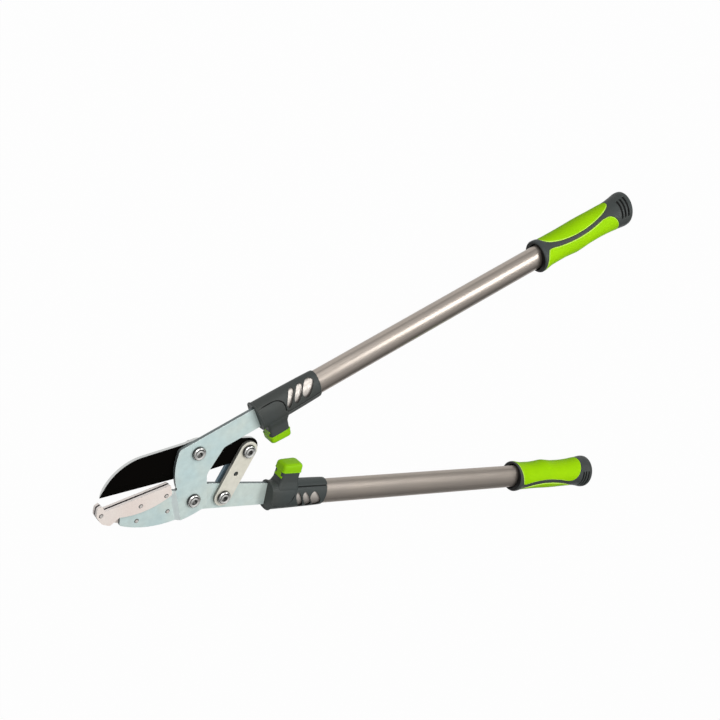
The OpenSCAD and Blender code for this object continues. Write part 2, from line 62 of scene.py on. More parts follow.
def surface(name, colour, roughness, second=None, metallic=0.0, grain=350.0, vary=0.06, bump=0.08,
            mottle=25.0, stretch=1.0, turn=0.0, shine=0.5):
    """A finish in two layers: a fine grain that moves colour, gloss and relief together, and a
    broad mottling towards a second colour. Stretch draws the grain out along the turn."""
    mat = bpy.data.materials.new(name)
    mat.use_nodes = True
    new, join = mat.node_tree.nodes.new, mat.node_tree.links.new
    shader = mat.node_tree.nodes["Principled BSDF"]
    shader.inputs["Metallic"].default_value = metallic
    shader.inputs["Specular IOR Level"].default_value = shine
    place = new("ShaderNodeTexCoord")
    lay = new("ShaderNodeMapping")
    lay.vector_type = "TEXTURE"
    lay.inputs["Rotation"].default_value = (0.0, 0.0, radians(turn))
    lay.inputs["Scale"].default_value = (stretch, 1.0, 1.0)
    join(place.outputs["Object"], lay.inputs["Vector"])
    speck = new("ShaderNodeTexNoise")
    speck.inputs["Scale"].default_value = grain
    speck.inputs["Detail"].default_value = 4.0
    join(lay.outputs["Vector"], speck.inputs["Vector"])
    cloud = new("ShaderNodeTexNoise")
    cloud.inputs["Scale"].default_value = mottle
    cloud.inputs["Detail"].default_value = 2.0
    join(place.outputs["Object"], cloud.inputs["Vector"])
    share = new("ShaderNodeMapRange")
    share.inputs["From Min"].default_value = CLOUD_LOW
    share.inputs["From Max"].default_value = CLOUD_HIGH
    join(cloud.outputs["Fac"], share.inputs["Value"])
    blend = new("ShaderNodeMix")
    blend.data_type = "RGBA"
    join(share.outputs["Result"], blend.inputs[MIX_SHARE])
    second = second or [SECOND_SHADE * c for c in colour]
    for base, socket in ((colour, MIX_A), (second, MIX_B)):
        tint = new("ShaderNodeValToRGB")
        dark, pale = tint.color_ramp.elements
        dark.position = GRAIN_LOW
        dark.color = [c * (1.0 - vary) for c in base] + [1.0]
        pale.position = GRAIN_HIGH
        pale.color = [min(1.0, c * (1.0 + vary)) for c in base] + [1.0]
        join(speck.outputs["Fac"], tint.inputs["Fac"])
        join(tint.outputs["Color"], blend.inputs[socket])
    join(blend.outputs[MIX_OUT], shader.inputs["Base Color"])
    gloss = new("ShaderNodeMapRange")
    gloss.inputs["To Min"].default_value = roughness - GLOSS_SPREAD
    gloss.inputs["To Max"].default_value = roughness + GLOSS_SPREAD
    join(speck.outputs["Fac"], gloss.inputs["Value"])
    join(gloss.outputs["Result"], shader.inputs["Roughness"])
    relief = new("ShaderNodeBump")
    relief.inputs["Strength"].default_value = bump
    relief.inputs["Distance"].default_value = RELIEF
    join(speck.outputs["Fac"], relief.inputs["Height"])
    join(relief.outputs["Normal"], shader.inputs["Normal"])
    return mat


def dress(names, finish, edge, sheet=False):
    """Gives CAD nodes a finish, and breaks their sharp edges by the width given. A sheet's faces
    are made whole first."""
    for name in names:
        node = nodes[name]
        node.material_slots[0].material = finish
        weld = node.modifiers.new("weld", "WELD")
        weld.merge_threshold = WELD
        if sheet:
            whole = node.modifiers.new("whole_faces", "DECIMATE")
            whole.decimate_type = "DISSOLVE"
            whole.angle_limit = radians(SAME_PLANE)
        broken = node.modifiers.new("broken_edges", "BEVEL")
        broken.width = edge
        broken.segments = 2
        broken.limit_method = "ANGLE"
        broken.angle_limit = radians(SHARP_EDGE)


def all_pass(tree, tests):
    """A value that is 1 where every test holds: each is a socket, a comparison and its bound."""
    share = None
    for socket, test, bound in tests:
        holds = tree.nodes.new("ShaderNodeMath")
        holds.operation = test
        holds.inputs[1].default_value = bound
        tree.links.new(socket, holds.inputs[0])
        if share is None:
            share = holds.outputs["Value"]
            continue
        both = tree.nodes.new("ShaderNodeMath")
        both.operation = "MULTIPLY"
        tree.links.new(share, both.inputs[0])
        tree.links.new(holds.outputs["Value"], both.inputs[1])
        share = both.outputs["Value"]
    return share


def sloped(finish, limit, colour, metallic, roughness, band=(-1.0, 1.0)):
    """Gives the faces whose normal rises less than a limit another finish, in a band of heights."""
    tree = finish.node_tree
    new, join = tree.nodes.new, tree.links.new
    other = new("ShaderNodeBsdfPrincipled")
    other.inputs["Base Color"].default_value = colour + (1.0,)
    other.inputs["Metallic"].default_value = metallic
    other.inputs["Roughness"].default_value = roughness
    facing = new("ShaderNodeNewGeometry")
    rise = new("ShaderNodeSeparateXYZ")
    join(facing.outputs["True Normal"], rise.inputs["Vector"])
    flat = new("ShaderNodeMath")
    flat.operation = "ABSOLUTE"
    join(rise.outputs["Z"], flat.inputs[0])
    place = new("ShaderNodeTexCoord")
    level = new("ShaderNodeSeparateXYZ")
    join(place.outputs["Object"], level.inputs["Vector"])
    share = all_pass(tree, ((flat.outputs["Value"], "LESS_THAN", limit),
                            (level.outputs["Z"], "GREATER_THAN", band[0]),
                            (level.outputs["Z"], "LESS_THAN", band[1])))
    out = tree.nodes["Material Output"].inputs["Surface"]
    either = new("ShaderNodeMixShader")
    join(share, either.inputs["Fac"])
    join(out.links[0].from_socket, either.inputs[1])
    join(other.outputs["BSDF"], either.inputs[2])
    join(either.outputs["Shader"], out)


plate_zinc = surface("plate_zinc", ZINC_BLUE, 0.40, second=ZINC_STRAW, metallic=0.3, grain=160.0,
                     vary=0.05)
# Painted highlight: faces that tilt away from the plate's face, the joggle and broken edges, go
# paler.
sloped(plate_zinc, 0.95, JOGGLE_HIGHLIGHT, 0.2, 0.40)
# Painted shade: the plate's upright cut edges are made dark.
sloped(plate_zinc, 0.25, CUT_EDGE_SHADE, 0.5, 0.45)
dress(["upper_plate", "lower_plate"], plate_zinc, STAMPED_EDGE, sheet=True)

# Anvil: a soft light-alloy casting, straddling the jaw and left as cast, with a matt rosy skin.
# Three rivets hold its cheeks, two more its back flange, all with painted shade on their rims.
# Its top and sides carry a painted highlight, and a band along its groove painted shade.
ANVIL_ROSE = (0.89, 0.78, 0.72)
ANVIL_PALE = (0.91, 0.83, 0.77)
ANVIL_HIGHLIGHT = (0.92, 0.85, 0.81)
GROOVE_SHADE = (0.03, 0.025, 0.025)
GROOVE_BAND = (0.0136, 0.0159)
EVERY_SLOPE = 1.1
RIVET_PALE, RIVET_RIM_SHADE = (0.74, 0.70, 0.66), (0.07, 0.065, 0.06)
CAST_EDGE, RIVET_EDGE = 0.0005, 0.0002
anvil_cast = surface("anvil_cast", ANVIL_ROSE, 0.52, second=ANVIL_PALE, metallic=0.2, grain=900.0,
                     vary=0.05, bump=0.25)
# Painted highlight: the anvil's top and sides, every face tilted from its cheek, are made paler.
sloped(anvil_cast, 0.5, ANVIL_HIGHLIGHT, 0.1, 0.50)
# Painted shade: every face in a band of heights across the top, at the groove and beyond it, goes
# black.
sloped(anvil_cast, EVERY_SLOPE, GROOVE_SHADE, 0.0, 0.60, GROOVE_BAND)
dress(["anvil"], anvil_cast, CAST_EDGE)
rivet_bright = surface("rivet_bright", RIVET_PALE, 0.40, metallic=0.4, grain=1200.0)
# Painted shade: the upright rims of the rivet heads are made near black.
sloped(rivet_bright, 0.9, RIVET_RIM_SHADE, 0.4, 0.45)
dress(["anvil_rivets", "jaw_rivets"], rivet_bright, RIVET_EDGE)

# Blade: hardened steel under a black non-stick coat. Its edge faces all round the back and the tail
# are given uncoated bright steel, a painted highlight for the light that the coated edge catches.
COAT = (0.0024, 0.0020, 0.0016)
EDGE_HIGHLIGHT_STEEL = (0.60, 0.61, 0.60)
BRASS = (0.60, 0.42, 0.16)
BLADE_EDGE, BUSH_EDGE = 0.0003, 0.0002
coat_black = surface("coat_black", COAT, 0.6, grain=1500.0, vary=0.2, bump=0.05, shine=0.02)
# Painted highlight: the blade's edge faces take uncoated bright steel.
sloped(coat_black, 0.8, EDGE_HIGHLIGHT_STEEL, 0.9, 0.35)
dress(["blade"], coat_black, BLADE_EDGE, sheet=True)
dress(["blade_bush"], surface("bush_brass", BRASS, 0.35, metallic=1.0), BUSH_EDGE)

# Links: a pair of flat steel straps with round ends, zinc plated, the front one with a warm ivory
# cast. The rear one is coloured dark blue as painted shade, for the front one's shadow on it, and
# the front one's cut edges carry painted shade.
IVORY, IVORY_PALE = (0.84, 0.81, 0.69), (0.86, 0.84, 0.74)
LINK_EDGE_SHADE = (0.20, 0.20, 0.18)
REAR_LINK_SHADE = (0.13, 0.19, 0.23)
link_ivory = surface("link_ivory", IVORY, 0.38, second=IVORY_PALE, metallic=0.3, grain=200.0,
                     vary=0.05)
# Painted shade: the front link's cut edges are made dark.
sloped(link_ivory, 0.25, LINK_EDGE_SHADE, 0.4, 0.45)
dress(["front_link"], link_ivory, STAMPED_EDGE, sheet=True)
# Painted shade: the rear link is coloured dark blue for the shadow the front link casts on it.
link_painted_shade = surface("link_painted_shade", REAR_LINK_SHADE, 0.35, metallic=0.4, grain=200.0)
dress(["rear_link"], link_painted_shade, STAMPED_EDGE, sheet=True)

# Pivot bolts, washers and lock nuts: M8, bright zinc, with low domed heads towards the user. The
# rim of each head and the walls of its key socket are made near black as painted shade.
SOCKET_R, SOCKET_TOP, SOCKET_FLOOR = 0.0030, -0.0007, -0.0024
SOCKET_SHADE = (0.02, 0.02, 0.02)
HEAD_RIM_SHADE = (0.05, 0.05, 0.05)
ZINC_DULL, ZINC_BRIGHT = (0.74, 0.74, 0.71), (0.90, 0.90, 0.87)
SMALL_EDGE = 0.0003


def repainted(finish, share, colour):
    """Turns a finish's base colour into another one by a share."""
    tree = finish.node_tree
    base = tree.nodes["Principled BSDF"].inputs["Base Color"]
    either = tree.nodes.new("ShaderNodeMix")
    either.data_type = "RGBA"
    tree.links.new(share, either.inputs[MIX_SHARE])
    tree.links.new(base.links[0].from_socket, either.inputs[MIX_A])
    either.inputs[MIX_B].default_value = colour + (1.0,)
    tree.links.new(either.outputs[MIX_OUT], base)


bolt_bright = surface("bolt_bright", ZINC_DULL, 0.24, metallic=1.0, grain=700.0)
dress(["main_washer", "blade_washer", "link_washers", "main_nut", "blade_nut", "link_nuts"],
      bolt_bright, SMALL_EDGE)
for name in ("main_bolt", "blade_bolt", "link_bolt", "tail_bolt"):
    low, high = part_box(name)
    zinc = surface(name + "_zinc", ZINC_BRIGHT, 0.14, metallic=1.0, grain=700.0, vary=0.04, bump=0.02)
    new, join = zinc.node_tree.nodes.new, zinc.node_tree.links.new
    place = new("ShaderNodeTexCoord")
    centre = new("ShaderNodeMapping")
    centre.inputs["Location"].default_value = (-(low[0] + high[0]) / 2, -(low[1] + high[1]) / 2,
                                               -high[2])
    join(place.outputs["Object"], centre.inputs["Vector"])
    upright = new("ShaderNodeVectorMath")
    upright.operation = "MULTIPLY"
    upright.inputs[1].default_value = (1.0, 1.0, 0.0)
    join(centre.outputs["Vector"], upright.inputs[0])
    radius = new("ShaderNodeVectorMath")
    radius.operation = "LENGTH"
    join(upright.outputs["Vector"], radius.inputs[0])
    depth = new("ShaderNodeSeparateXYZ")
    join(centre.outputs["Vector"], depth.inputs["Vector"])
    # Painted shade: the walls of each key socket are made near black.
    wall = all_pass(zinc.node_tree, ((radius.outputs["Value"], "LESS_THAN", SOCKET_R),
                                     (depth.outputs["Z"], "LESS_THAN", SOCKET_TOP),
                                     (depth.outputs["Z"], "GREATER_THAN", SOCKET_FLOOR)))
    repainted(zinc, wall, SOCKET_SHADE)
    # Painted shade: the upright rim of each bolt head is made near black.
    sloped(zinc, 0.4, HEAD_RIM_SHADE, 0.8, 0.30)
    dress([name], zinc, SMALL_EDGE)

# Tang fixings: plastic wedges that pack each tang in its tube, and two steel rivets through tang
# and tube. The collars hide them.
WEDGE_BLACK = (0.05, 0.055, 0.055)
wedge_plastic = surface("wedge_plastic", WEDGE_BLACK, 0.55, grain=800.0)
dress(["upper_insert", "lower_insert"], wedge_plastic, SMALL_EDGE)
dress(["upper_tang_rivets", "lower_tang_rivets"], rivet_bright, SMALL_EDGE)

# Handle tubes: drawn oval aluminium, 30 by 20 mm with a 1.5 mm wall, anodised a warm titanium grey
# and brushed lengthwise. Each runs from inside its collar to inside its grip; the stretch inside the
# collar, seen through its windows, is made paler as painted light.
HALF_OPEN = 15.25
SLANT = {"upper": HALF_OPEN, "lower": -HALF_OPEN}
PIVOT = Matrix.Translation((-0.2529, -0.0259, 0.0185))
COLLAR_AT = {"upper": (0.093, 0.057, 0.0), "lower": (0.098, -0.002, 0.0)}
HANDLES = {}
for side, at in COLLAR_AT.items():
    HANDLES[side] = PIVOT @ Matrix.Rotation(radians(SLANT[side]), 4, "Z") @ Matrix.Translation(at)
HANDLES["upper"] = HANDLES["upper"] @ Matrix.Scale(-1.0, 4, (0.0, 1.0, 0.0))
BRUSHED = {"upper": 0.33, "lower": 0.48}
TUBE_A, TUBE_B, TUBE_WALL = 0.015, 0.010, 0.0015
COLLAR_L, TUBE_RUN, GRIP_L = 0.079, 0.318, 0.142
TUBE_START, TUBE_SHORT, TUBE_AROUND = 0.030, 0.010, 128
GRIP_X = COLLAR_L + TUBE_RUN
TUBE_END = GRIP_X + GRIP_L - TUBE_SHORT
WINDOW_LIGHT_END, WINDOW_LIGHT = COLLAR_L - 0.002, (0.70, 0.65, 0.60)
TITANIUM, TITANIUM_DULL = (0.42, 0.37, 0.325), (0.40, 0.355, 0.315)
JOIN = 1e-6


def wrapped(along, around, skin):
    """A sheet rolled up: skin gives the place for a share of the length and an angle."""
    bm = bmesh.new()
    bmesh.ops.create_grid(bm, x_segments=along, y_segments=around, size=1.0)
    for v in bm.verts:
        v.co = skin((v.co.x + 1.0) / 2.0, (v.co.y + 1.0) * pi)
    bmesh.ops.remove_doubles(bm, verts=bm.verts[:], dist=JOIN)
    return bm


def closed(bm):
    """Fills what is still open at the ends and turns every face outwards."""
    rim = [e for e in bm.edges if e.is_boundary]
    if rim:
        bmesh.ops.holes_fill(bm, edges=rim, sides=0)
    bmesh.ops.recalc_face_normals(bm, faces=bm.faces[:])
    return bm


def fitted(bm, name, side, finish, sharp=35.0):
    """Sets a handle piece on its handle, as an object that rides with it."""
    bmesh.ops.transform(bm, matrix=HANDLES[side], verts=bm.verts[:])
    bmesh.ops.recalc_face_normals(bm, faces=bm.faces[:])
    mesh = bpy.data.meshes.new(name)
    bm.to_mesh(mesh)
    bm.free()
    mesh.shade_smooth()
    mesh.set_sharp_from_angle(angle=radians(sharp))
    piece = bpy.data.objects.new(name, mesh)
    bpy.context.scene.collection.objects.link(piece)
    piece.data.materials.append(finish)
    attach(piece, side + "_handle")
    return piece


def marked(bm, layer, test):
    """Marks the faces whose middle passes a test, for the finish to read."""
    mark = bm.faces.layers.float.new(layer)
    for face in bm.faces:
        face[mark] = float(test(face.calc_center_median()))
    return bm


def tinted(finish, layer, colour):
    """Gives the faces that are marked in a layer another colour."""
    mark = finish.node_tree.nodes.new("ShaderNodeAttribute")
    mark.attribute_name = layer
    repainted(finish, mark.outputs["Fac"], colour)


TUBE_WALLS = [(TUBE_START, 0.0), (WINDOW_LIGHT_END, 0.0), (TUBE_END, 0.0), (TUBE_END, TUBE_WALL),
              (TUBE_START, TUBE_WALL), (TUBE_START, 0.0)]
TUBE_ROWS = len(TUBE_WALLS) - 1


def tube_skin(u, angle):
    """Point of the tube's wall, out along the outside and back along the bore."""
    x, inset = TUBE_WALLS[round(u * TUBE_ROWS)]
    return Vector((x, (TUBE_A - inset) * cos(angle), (TUBE_B - inset) * sin(angle)))


for side in HANDLES:
    anodised = surface(side + "_anodised", TITANIUM, BRUSHED[side], second=TITANIUM_DULL,
                       metallic=0.85, grain=900.0, vary=0.06, bump=0.015, stretch=50.0,
                       turn=SLANT[side])
    # Painted light: the tube inside the collar, seen through the windows, is made paler.
    tinted(anodised, "window_lit", WINDOW_LIGHT)
    drawn = wrapped(TUBE_ROWS, TUBE_AROUND, tube_skin)
    drawn = marked(drawn, "window_lit", lambda at: at.x < WINDOW_LIGHT_END)
    tube = fitted(drawn, side + "_tube_drawn", side, anodised)
    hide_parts(side + "_tube")

# Collars: moulded in slate nylon over the tube's end. A lip rings the slotted end wall, a hood with
# a rounded edge stands proud of the sleeve, and three leaning windows on each face show the tube.
SLATE, SLATE_WARM, HOLLOW_SHADE = (0.053, 0.062, 0.061), (0.059, 0.064, 0.060), (0.004, 0.004, 0.004)
slate_nylon = surface("slate_nylon", SLATE, 0.46, second=SLATE_WARM, grain=1400.0, vary=0.08,
                      bump=0.12, shine=0.2)
# Painted shade: faces marked hollow, in creases, grooves, channels and cut walls, are made near
# black.
tinted(slate_nylon, "hollow", HOLLOW_SHADE)
SLEEVE = [(0.0, 0.0163, 0.0120, 2.7), (0.030, 0.0164, 0.0120, 2.5), (0.060, 0.0164, 0.0120, 2.2),
          (0.075, 0.0164, 0.0119, 2.0), (0.078, 0.0162, 0.0116, 2.0), (0.079, 0.0156, 0.0108, 2.0)]
HAND = {"upper": -1.0, "lower": 1.0}
SET_ROUND = 12.5
MOUTH_D, MOUTH_A, MOUTH_B, MOUTH_POWER = 0.0004, 0.0153, 0.0111, 2.7
LIP_X, LIP_HALF, LIP_RISE = 0.0010, 0.0013, 0.0010
LIP_END = LIP_X + LIP_HALF
MOUTH_BACK, MOUTH_CANT, MOUTH_RUN = 0.0007, 0.11, 0.020
HOOD_ARC = (0.018, 0.0036, 0.0132)
HOOD_FILLET = (0.0372, 0.0037, 0.006)
HOOD_RISE, HOOD_ROUND, HOOD_FOOT, HOOD_FADE = 0.0007, 0.0009, 0.2, 0.012
CREASE_W, CREASE_D = 0.0016, 0.0007
UNROLLED, CROWDED = 0.0145, 1.6
SEAT_X, SEAT_STEP, SLIP = 0.0295, 0.001, 0.00003
WINDOW_FROM, WINDOW_TO, WINDOW_GAP = 0.033, 0.0735, 0.0006
SEAT = [(COLLAR_L, 0.0), (WINDOW_TO + SEAT_STEP, 0.0), (WINDOW_TO, WINDOW_GAP),
        (WINDOW_FROM, WINDOW_GAP), (WINDOW_FROM - SEAT_STEP, 0.0), (SEAT_X, 0.0)]
MOUTH_ROWS, LIP_ROWS, COLLAR_ROWS, COLLAR_AROUND = 3, 14, 190, 200
SHEET_ROWS = MOUTH_ROWS + COLLAR_ROWS + len(SEAT) + 1
WINDOWS = [(0.0412, 31.0, 0.0040, 0.0026), (0.0518, 35.0, 0.0047, 0.0033),
           (0.0645, 38.0, 0.0068, 0.0046)]
WINDOW_HALF, WINDOW_FACE, WINDOW_OFF, WINDOW_FULL = 0.0108, 19.5, -0.0012, 2.6
WINDOW_H, WINDOW_DEEP, WINDOW_STEPS = 0.0145, 0.017, 48
SUNK, SUNK_END = 0.945, COLLAR_L - 0.001
COLLAR_SHARP = 30.0
PLATE_T = 0.004
SLOTS = {"upper": (-0.00135, 0.0137), "lower": (-0.00565, 0.0140)}
SLOT_EASE, SLOT_OUT, SLOT_IN = 0.0001, 0.004, 0.001
TOWER_X, TOWER_FRONT, TOWER_BACK = 0.0205, 0.012, 0.0135
TOWER_HALF, TOWER_ROUND, TOWER_H = 0.0092, 0.0035, 0.031
TOWER_FORM = [(0.004, -0.0024), (0.012, -0.0017), (0.017, -0.0004), (0.0205, 0.0003),
              (TOWER_H, 0.0005)]
TOWER_ROWS, TOWER_AROUND = 40, 96
TONGUE_X, TONGUE_D, TONGUE_LOW = TOWER_X - TOWER_FRONT + 0.0001, 0.0028, 0.0235
TONGUE_GAP = 0.00018
FLAP_H, FLAP_HALF, STEM_HALF = 0.0026, 0.007, 0.0042
STEM_LOW, STEM_HIGH = TONGUE_LOW + 0.001, TOWER_H + 0.003


def between(table, x):
    """Row of a table at x, straight between the rows that it lists."""
    for low, high in zip(table, table[1:]):
        if x <= high[0]:
            t = (x - low[0]) / (high[0] - low[0])
            return [p + (q - p) * t for p, q in zip(low[1:], high[1:])]
    return list(table[-1][1:])


def eased(table, x):
    """Row of a table at x, on a smooth curve that never swings past the rows that it lists."""
    i = max([k for k in range(len(table) - 1) if table[k][0] <= x] or [0])
    low, high = table[i], table[i + 1]
    span = high[0] - low[0]
    t = min(1.0, (x - low[0]) / span)
    row = []
    for c in range(1, len(low)):
        secants = [(b[c] - a[c]) / (b[0] - a[0]) for a, b in zip(table, table[1:])]
        slopes = []
        for k in (i, i + 1):
            near = secants[max(k - 1, 0)], secants[min(k, len(secants) - 1)]
            slope = 0.0
            if near[0] * near[1] > 0:
                slope = 2.0 * near[0] * near[1] / (near[0] + near[1])
            slopes.append(slope)
        rise = t * t * (3.0 - 2.0 * t)
        row.append(low[c] + (high[c] - low[c]) * rise
                   + span * (slopes[0] * t * (1.0 - t) ** 2 - slopes[1] * t * t * (1.0 - t)))
    return row


def squared(a, b, power, angle):
    """Point of an oval whose sides flatten as the power rises above 2."""
    c, s = cos(angle), sin(angle)
    return a * copysign(abs(c) ** (2.0 / power), c), b * copysign(abs(s) ** (2.0 / power), s)


def hood_line(x):
    """Height of the hood's edge at x, on the unrolled sleeve."""
    cx, cy, r = HOOD_ARC
    fx, fy, f = HOOD_FILLET
    if x <= cx:
        return cy - r
    if x < cx + r:
        return cy - sqrt(r * r - (x - cx) ** 2)
    if x < fx - f:
        return cy + (fy - cy) * (x - cx - r) / (fx - f - cx - r)
    if x < fx:
        return fy + sqrt(f * f - (fx - x) ** 2)
    return fy + f


def hood_station(run):
    """x of the point that lies this far along the hood's edge from the mouth."""
    cx, cy, r = HOOD_ARC
    fx, fy, f = HOOD_FILLET
    if run < cx:
        return run
    run -= cx
    if run < r * pi / 2:
        return cx + r * sin(run / r)
    run -= r * pi / 2
    if run < fy - cy:
        return cx + r + (fx - f - cx - r) * run / (fy - cy)
    run -= fy - cy
    if run < f * pi / 2:
        return fx - f * cos(run / f)
    return fx + run - f * pi / 2


HOOD_RUN = (HOOD_ARC[0] + HOOD_ARC[2] * pi / 2 + HOOD_FILLET[1] - HOOD_ARC[1]
            + HOOD_FILLET[2] * pi / 2 + COLLAR_L - HOOD_FILLET[0])


def hood_rise(x, y):
    """Rise of the moulding at a point: the hood with its round edge, or the crease at its foot."""
    cx, cy, r = HOOD_ARC
    fx, fy, f = HOOD_FILLET
    near = [hypot(max(0.0, x - cx), y - cy + r), hypot(max(0.0, fx - x), y - fy - f),
            hypot(x - cx - r, max(cy - y, 0.0, y - fy))]
    if x > cx and y < cy:
        near.append(abs(hypot(x - cx, y - cy) - r))
    if x < fx and y > fy:
        near.append(abs(hypot(x - fx, y - fy) - f))
    away = min(near)
    if y >= hood_line(x):
        edge = max(0.0, 1.0 - away / HOOD_ROUND)
        return HOOD_RISE * (HOOD_FOOT + (1.0 - HOOD_FOOT) * sqrt(1.0 - edge * edge))
    return -CREASE_D * max(0.0, 1.0 - (2.0 * away / CREASE_W - 1.0) ** 2)


def lined_up(angle, x):
    """Shifts the sheet's even angles so that one column follows the hood's edge, others near it."""
    edge = pi / 2.0 - hood_line(x) / UNROLLED
    half = angle / pi if angle <= pi else 2.0 - angle / pi
    if half < 0.5:
        turned = edge * (1.0 - (1.0 - 2.0 * half) ** CROWDED)
    else:
        turned = edge + (pi - edge) * (2.0 * half - 1.0) ** CROWDED
    return turned if angle <= pi else -turned


def collar_skin(u, angle, side):
    """Point of the sleeve, set round on its handle and slanted towards the mouth."""
    point = sleeve_skin(u, angle, radians(-HAND[side] * SET_ROUND))
    near = max(0.0, 1.0 - point.x / MOUTH_RUN)
    point.x += near * (MOUTH_BACK - HAND[side] * MOUTH_CANT * point.y)
    return point


def sleeve_skin(u, angle, shift):
    """Point of the collar's sheet, which runs from the end wall along the skin and back inside."""
    row = round(u * SHEET_ROWS)
    if row < MOUTH_ROWS:
        y, z = squared(MOUTH_A, MOUTH_B, MOUTH_POWER, lined_up(angle, 0.0) + shift)
        return (Vector((MOUTH_D, 0.0, 0.0)), Vector((MOUTH_D, y, z)), Vector((0.0, y, z)))[row]
    row -= MOUTH_ROWS
    if row > COLLAR_ROWS:
        x, gap = SEAT[min(row - 1 - COLLAR_ROWS, len(SEAT) - 1)]
        turned = lined_up(angle, COLLAR_L) + shift
        y, z = (TUBE_A + gap + SLIP) * cos(turned), (TUBE_B + gap + SLIP) * sin(turned)
        return Vector((x, y, z)) if row <= COLLAR_ROWS + len(SEAT) else Vector((x, 0.0, 0.0))
    if row <= LIP_ROWS:
        x = LIP_END * row / LIP_ROWS
    else:
        run = (HOOD_RUN - LIP_END) * (row - LIP_ROWS) / (COLLAR_ROWS - LIP_ROWS)
        x = min(hood_station(LIP_END + run), COLLAR_L)
    a, b, power = between(SLEEVE, x)
    turned = lined_up(angle, x)
    y, z = squared(a, b, power, turned + shift)
    rise = hood_rise(x, UNROLLED * (pi / 2.0 - abs(turned))) * min(1.0, x / HOOD_FADE)
    if x < LIP_END:
        rise = max(rise, LIP_RISE * sqrt(max(0.0, 1.0 - ((x - LIP_X) / LIP_HALF) ** 2)))
    grown = 1.0 + rise / hypot(y, z)
    return Vector((x, y * grown, z * grown))


def oblong(inset, angle):
    """Point of the tower's rounded outline, in x and z, drawn in by an inset."""
    c, s = cos(angle + pi / 4.0), sin(angle + pi / 4.0)
    end = TOWER_BACK if c > 0 else TOWER_FRONT
    return (TOWER_X + copysign(end - inset - TOWER_ROUND, c) + TOWER_ROUND * c,
            copysign(TOWER_HALF - inset - TOWER_ROUND, s) + TOWER_ROUND * s)


def tower_skin(u, angle):
    """Point of the tower, flaring into the sleeve at its foot."""
    low, high = TOWER_FORM[0][0], TOWER_FORM[-1][0]
    y = low + (high - low) * u
    x, z = oblong(eased(TOWER_FORM, y)[0], angle)
    return Vector((x, y, z))


def shaped(name, bm):
    """A loose object of a mesh, to be worked on."""
    mesh = bpy.data.meshes.new(name)
    bm.to_mesh(mesh)
    bm.free()
    piece = bpy.data.objects.new(name, mesh)
    bpy.context.scene.collection.objects.link(piece)
    return piece


def worked(piece, tool, how):
    """Cuts a tool's shape out of a piece, or joins it on, for good."""
    cut = piece.modifiers.new("cut", "BOOLEAN")
    cut.operation = how
    cut.solver = "EXACT"
    cut.object = tool
    graph = bpy.context.evaluated_depsgraph_get()
    result = bpy.data.meshes.new_from_object(piece.evaluated_get(graph))
    piece.modifiers.clear()
    piece.data = result
    bpy.data.objects.remove(tool)


def slab(low, high, edge=0.0):
    """A block between two corners, with its edges rounded where a radius is given."""
    bm = bmesh.new()
    bmesh.ops.create_cube(bm, size=1.0)
    bmesh.ops.scale(bm, vec=[q - p for p, q in zip(low, high)], verts=bm.verts[:])
    bmesh.ops.translate(bm, vec=[(p + q) / 2.0 for p, q in zip(low, high)], verts=bm.verts[:])
    if edge:
        bmesh.ops.bevel(bm, geom=bm.edges[:], offset=edge, segments=4, profile=0.5, affect="EDGES",
                        material=-1)
    return closed(bm)


def tongue_blocks(grow, edge):
    """The bumper's tongue: a flap, and the narrower stem that joins it to the cap."""
    near, deep = TONGUE_X - grow, TONGUE_X + TONGUE_D + grow
    return [slab((near, TONGUE_LOW - grow, -FLAP_HALF - grow),
                 (deep, TONGUE_LOW + FLAP_H + grow, FLAP_HALF + grow), edge),
            slab((near, STEM_LOW, -STEM_HALF - grow), (deep, STEM_HIGH, STEM_HALF + grow), edge)]


def taken(piece):
    """The mesh of a worked piece, with the piece itself cleared away."""
    bm = bmesh.new()
    bm.from_mesh(piece.data)
    bpy.data.objects.remove(piece)
    return bm


def sunk(point):
    """Whether a point of the collar lies below the sleeve's skin."""
    a, b, power = between(SLEEVE, point.x)
    inside = (abs(point.y) / a) ** power + (abs(point.z) / b) ** power < SUNK
    return inside and LIP_END < point.x < SUNK_END


